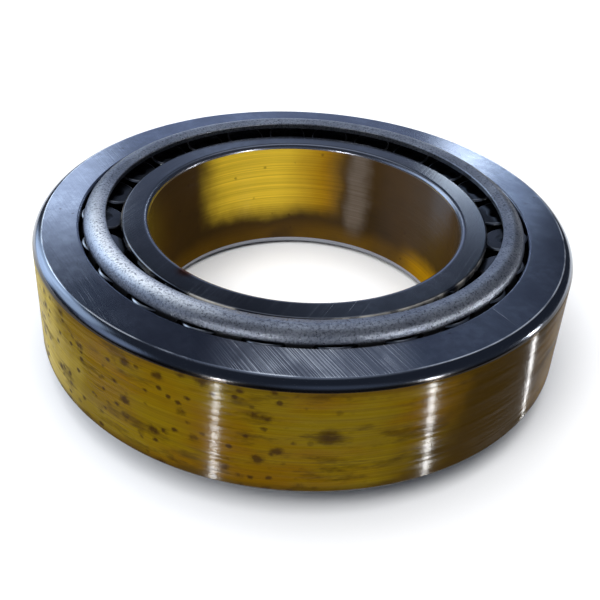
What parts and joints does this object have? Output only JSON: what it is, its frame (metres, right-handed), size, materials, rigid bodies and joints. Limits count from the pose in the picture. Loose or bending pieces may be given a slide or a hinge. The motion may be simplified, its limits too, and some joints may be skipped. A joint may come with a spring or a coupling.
{
  "type": "tapered roller bearing",
  "caption": "Single-row tapered roller bearing: inner ring, caged tapered rollers and a separable outer ring, for combined radial and axial load.",
  "frame": {"origin": "on the bearing axis, at the inner ring's back face, on which the bearing stands", "axes": "+Z along the bearing axis, from the inner ring's back face to the outer ring's back face, towards the small ends of the rollers; +X and +Y are free, with roller_01 8 degrees from +X"},
  "size_m": [0.14, 0.14, 0.0393],
  "materials": {
    "outer_ring_steel": "ground, oiled",
    "inner_ring_steel": "ground, oiled",
    "cage_steel": "satin, pressed",
    "roller_steel": "ground, polished"
  },
  "bodies": {
    "outer_ring": {"outer_ring": "outer_ring_steel"},
    "inner_ring": {"inner_ring": "inner_ring_steel"},
    "cage": {"cage": "cage_steel"},
    "roller_01": {"roller_01": "roller_steel"},
    "roller_02": {"roller_02": "roller_steel"},
    "roller_03": {"roller_03": "roller_steel"},
    "roller_04": {"roller_04": "roller_steel"},
    "roller_05": {"roller_05": "roller_steel"},
    "roller_06": {"roller_06": "roller_steel"},
    "roller_07": {"roller_07": "roller_steel"},
    "roller_08": {"roller_08": "roller_steel"},
    "roller_09": {"roller_09": "roller_steel"},
    "roller_10": {"roller_10": "roller_steel"},
    "roller_11": {"roller_11": "roller_steel"},
    "roller_12": {"roller_12": "roller_steel"},
    "roller_13": {"roller_13": "roller_steel"},
    "roller_14": {"roller_14": "roller_steel"},
    "roller_15": {"roller_15": "roller_steel"},
    "roller_16": {"roller_16": "roller_steel"},
    "roller_17": {"roller_17": "roller_steel"},
    "roller_18": {"roller_18": "roller_steel"},
    "roller_19": {"roller_19": "roller_steel"},
    "roller_20": {"roller_20": "roller_steel"},
    "roller_21": {"roller_21": "roller_steel"},
    "roller_22": {"roller_22": "roller_steel"},
    "roller_23": {"roller_23": "roller_steel"},
    "roller_24": {"roller_24": "roller_steel"}
  },
  "joints": [
    {"name": "outer_ring_spin", "type": "hinge", "parent": "inner_ring", "child": "outer_ring", "pos_m": [0, 0, 0.0215], "axis": [0, 0, 1], "continuous": true},
    {"name": "cage_orbit", "type": "hinge", "parent": "inner_ring", "child": "cage", "pos_m": [0, 0, 0.0215], "axis": [0, 0, 1], "continuous": true},
    {"name": "roller_01_spin", "type": "hinge", "parent": "cage", "child": "roller_01", "pos_m": [0.05562, 0.00782, 0.02109], "axis": [-0.2317, -0.0326, 0.9722], "continuous": true},
    {"name": "roller_02_spin", "type": "hinge", "parent": "cage", "child": "roller_02", "pos_m": [0.0517, 0.02195, 0.02109], "axis": [-0.2154, -0.0914, 0.9722], "continuous": true},
    {"name": "roller_03_spin", "type": "hinge", "parent": "cage", "child": "roller_03", "pos_m": [0.04426, 0.03458, 0.02109], "axis": [-0.1844, -0.1441, 0.9722], "continuous": true},
    {"name": "roller_04_spin", "type": "hinge", "parent": "cage", "child": "roller_04", "pos_m": [0.0338, 0.04486, 0.02109], "axis": [-0.1408, -0.1869, 0.9722], "continuous": true},
    {"name": "roller_05_spin", "type": "hinge", "parent": "cage", "child": "roller_05", "pos_m": [0.02104, 0.05208, 0.02109], "axis": [-0.0877, -0.217, 0.9722], "continuous": true},
    {"name": "roller_06_spin", "type": "hinge", "parent": "cage", "child": "roller_06", "pos_m": [0.00685, 0.05575, 0.02109], "axis": [-0.0285, -0.2323, 0.9722], "continuous": true},
    {"name": "roller_07_spin", "type": "hinge", "parent": "cage", "child": "roller_07", "pos_m": [-0.00782, 0.05562, 0.02109], "axis": [0.0326, -0.2317, 0.9722], "continuous": true},
    {"name": "roller_08_spin", "type": "hinge", "parent": "cage", "child": "roller_08", "pos_m": [-0.02195, 0.0517, 0.02109], "axis": [0.0914, -0.2154, 0.9722], "continuous": true},
    {"name": "roller_09_spin", "type": "hinge", "parent": "cage", "child": "roller_09", "pos_m": [-0.03458, 0.04426, 0.02109], "axis": [0.1441, -0.1844, 0.9722], "continuous": true},
    {"name": "roller_10_spin", "type": "hinge", "parent": "cage", "child": "roller_10", "pos_m": [-0.04486, 0.0338, 0.02109], "axis": [0.1869, -0.1408, 0.9722], "continuous": true},
    {"name": "roller_11_spin", "type": "hinge", "parent": "cage", "child": "roller_11", "pos_m": [-0.05208, 0.02104, 0.02109], "axis": [0.217, -0.0877, 0.9722], "continuous": true},
    {"name": "roller_12_spin", "type": "hinge", "parent": "cage", "child": "roller_12", "pos_m": [-0.05575, 0.00685, 0.02109], "axis": [0.2323, -0.0285, 0.9722], "continuous": true},
    {"name": "roller_13_spin", "type": "hinge", "parent": "cage", "child": "roller_13", "pos_m": [-0.05562, -0.00782, 0.02109], "axis": [0.2317, 0.0326, 0.9722], "continuous": true},
    {"name": "roller_14_spin", "type": "hinge", "parent": "cage", "child": "roller_14", "pos_m": [-0.0517, -0.02195, 0.02109], "axis": [0.2154, 0.0914, 0.9722], "continuous": true},
    {"name": "roller_15_spin", "type": "hinge", "parent": "cage", "child": "roller_15", "pos_m": [-0.04426, -0.03458, 0.02109], "axis": [0.1844, 0.1441, 0.9722], "continuous": true},
    {"name": "roller_16_spin", "type": "hinge", "parent": "cage", "child": "roller_16", "pos_m": [-0.0338, -0.04486, 0.02109], "axis": [0.1408, 0.1869, 0.9722], "continuous": true},
    {"name": "roller_17_spin", "type": "hinge", "parent": "cage", "child": "roller_17", "pos_m": [-0.02104, -0.05208, 0.02109], "axis": [0.0877, 0.217, 0.9722], "continuous": true},
    {"name": "roller_18_spin", "type": "hinge", "parent": "cage", "child": "roller_18", "pos_m": [-0.00685, -0.05575, 0.02109], "axis": [0.0285, 0.2323, 0.9722], "continuous": true},
    {"name": "roller_19_spin", "type": "hinge", "parent": "cage", "child": "roller_19", "pos_m": [0.00782, -0.05562, 0.02109], "axis": [-0.0326, 0.2317, 0.9722], "continuous": true},
    {"name": "roller_20_spin", "type": "hinge", "parent": "cage", "child": "roller_20", "pos_m": [0.02195, -0.0517, 0.02109], "axis": [-0.0914, 0.2154, 0.9722], "continuous": true},
    {"name": "roller_21_spin", "type": "hinge", "parent": "cage", "child": "roller_21", "pos_m": [0.03458, -0.04426, 0.02109], "axis": [-0.1441, 0.1844, 0.9722], "continuous": true},
    {"name": "roller_22_spin", "type": "hinge", "parent": "cage", "child": "roller_22", "pos_m": [0.04486, -0.0338, 0.02109], "axis": [-0.1869, 0.1408, 0.9722], "continuous": true},
    {"name": "roller_23_spin", "type": "hinge", "parent": "cage", "child": "roller_23", "pos_m": [0.05208, -0.02104, 0.02109], "axis": [-0.217, 0.0877, 0.9722], "continuous": true},
    {"name": "roller_24_spin", "type": "hinge", "parent": "cage", "child": "roller_24", "pos_m": [0.05575, -0.00685, 0.02109], "axis": [-0.2323, 0.0285, 0.9722], "continuous": true}
  ],
  "couplings": [
    {"joint": "cage_orbit", "follows": "outer_ring_spin", "ratio": 0.5532},
    {"joint": "roller_01_spin", "follows": "outer_ring_spin", "ratio": 4.517},
    {"joint": "roller_02_spin", "follows": "outer_ring_spin", "ratio": 4.517},
    {"joint": "roller_03_spin", "follows": "outer_ring_spin", "ratio": 4.517},
    {"joint": "roller_04_spin", "follows": "outer_ring_spin", "ratio": 4.517},
    {"joint": "roller_05_spin", "follows": "outer_ring_spin", "ratio": 4.517},
    {"joint": "roller_06_spin", "follows": "outer_ring_spin", "ratio": 4.517},
    {"joint": "roller_07_spin", "follows": "outer_ring_spin", "ratio": 4.517},
    {"joint": "roller_08_spin", "follows": "outer_ring_spin", "ratio": 4.517},
    {"joint": "roller_09_spin", "follows": "outer_ring_spin", "ratio": 4.517},
    {"joint": "roller_10_spin", "follows": "outer_ring_spin", "ratio": 4.517},
    {"joint": "roller_11_spin", "follows": "outer_ring_spin", "ratio": 4.517},
    {"joint": "roller_12_spin", "follows": "outer_ring_spin", "ratio": 4.517},
    {"joint": "roller_13_spin", "follows": "outer_ring_spin", "ratio": 4.517},
    {"joint": "roller_14_spin", "follows": "outer_ring_spin", "ratio": 4.517},
    {"joint": "roller_15_spin", "follows": "outer_ring_spin", "ratio": 4.517},
    {"joint": "roller_16_spin", "follows": "outer_ring_spin", "ratio": 4.517},
    {"joint": "roller_17_spin", "follows": "outer_ring_spin", "ratio": 4.517},
    {"joint": "roller_18_spin", "follows": "outer_ring_spin", "ratio": 4.517},
    {"joint": "roller_19_spin", "follows": "outer_ring_spin", "ratio": 4.517},
    {"joint": "roller_20_spin", "follows": "outer_ring_spin", "ratio": 4.517},
    {"joint": "roller_21_spin", "follows": "outer_ring_spin", "ratio": 4.517},
    {"joint": "roller_22_spin", "follows": "outer_ring_spin", "ratio": 4.517},
    {"joint": "roller_23_spin", "follows": "outer_ring_spin", "ratio": 4.517},
    {"joint": "roller_24_spin", "follows": "outer_ring_spin", "ratio": 4.517}
  ]
}
